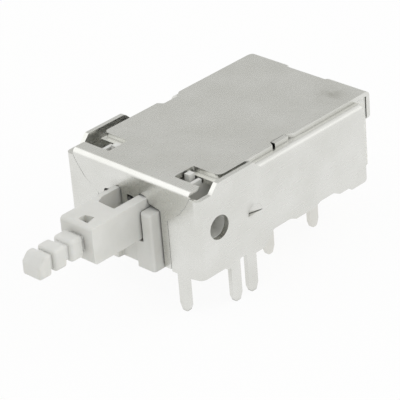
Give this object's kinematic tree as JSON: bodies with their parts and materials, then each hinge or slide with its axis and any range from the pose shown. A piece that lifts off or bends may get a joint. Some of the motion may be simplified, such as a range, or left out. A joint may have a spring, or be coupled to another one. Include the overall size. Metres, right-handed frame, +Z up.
{
  "type": "latching pushbutton switch",
  "caption": "Latching mains pushbutton switch for a circuit board: folded steel case, ringed plunger tip for a cap, and solder terminals below.",
  "frame": {"origin": "on the circuit board's surface and the switch's centre line, under the front face of the cover", "axes": "+X to the right seen from the plunger's end, +Y backwards into the switch along the plunger's push, +Z up away from the board"},
  "size_m": [0.0144, 0.0324, 0.0111],
  "materials": {
    "tinned_steel": "satin tin plate",
    "white_nylon": "moulded, matt to satin",
    "base_laminate": "matt",
    "copper_alloy": "satin, tinned below",
    "contact_silver": "satin silver",
    "spring_steel": "drawn wire"
  },
  "bodies": {
    "shell": {"top_cover": "tinned_steel", "frame": "tinned_steel", "housing": "white_nylon", "bottom_plate": "base_laminate", "common_terminal_right": "copper_alloy", "common_terminal_left": "copper_alloy", "switched_terminal_right": "copper_alloy", "switched_terminal_left": "copper_alloy", "fixed_contact_right": "contact_silver", "fixed_contact_left": "contact_silver", "return_spring": "spring_steel", "latch_leaf": "spring_steel"},
    "plunger": {"plunger": "white_nylon", "pusher_right": "white_nylon", "pusher_left": "white_nylon", "pusher_spring_right": "spring_steel", "pusher_spring_left": "spring_steel"},
    "rocker_right": {"rocker_arm_right": "copper_alloy", "moving_contact_right": "contact_silver"},
    "rocker_left": {"rocker_arm_left": "copper_alloy", "moving_contact_left": "contact_silver"},
    "latch": {"latch_wire": "spring_steel"}
  },
  "joints": [
    {"name": "plunger_slide", "type": "slide", "parent": "shell", "child": "plunger", "axis": [0, 1, 0], "range_m": [0, 0.0023], "stiffness_N_per_m": 80, "springref_m": -0.002, "deforming": ["return_spring"]},
    {"name": "rocker_tilt_right", "type": "hinge", "parent": "shell", "child": "rocker_right", "pos_m": [0.0045, 0.0103, 0.00204], "axis": [1, 0, 0], "range_deg": [-11, 0]},
    {"name": "rocker_tilt_left", "type": "hinge", "parent": "shell", "child": "rocker_left", "pos_m": [-0.0045, 0.0103, 0.00204], "axis": [1, 0, 0], "range_deg": [-11, 0]},
    {"name": "latch_swing", "type": "hinge", "parent": "shell", "child": "latch", "pos_m": [-0.0002, 0.0018, 0.0052], "axis": [0, 0, 1], "range_deg": [0, 9]}
  ],
  "couplings": [
    {"joint": "rocker_tilt_right", "follows": "plunger_slide", "rad_per_m": -83.472},
    {"joint": "rocker_tilt_left", "follows": "plunger_slide", "rad_per_m": -83.472},
    {"joint": "latch_swing", "follows": "plunger_slide", "rad_per_m": 68.296}
  ]
}
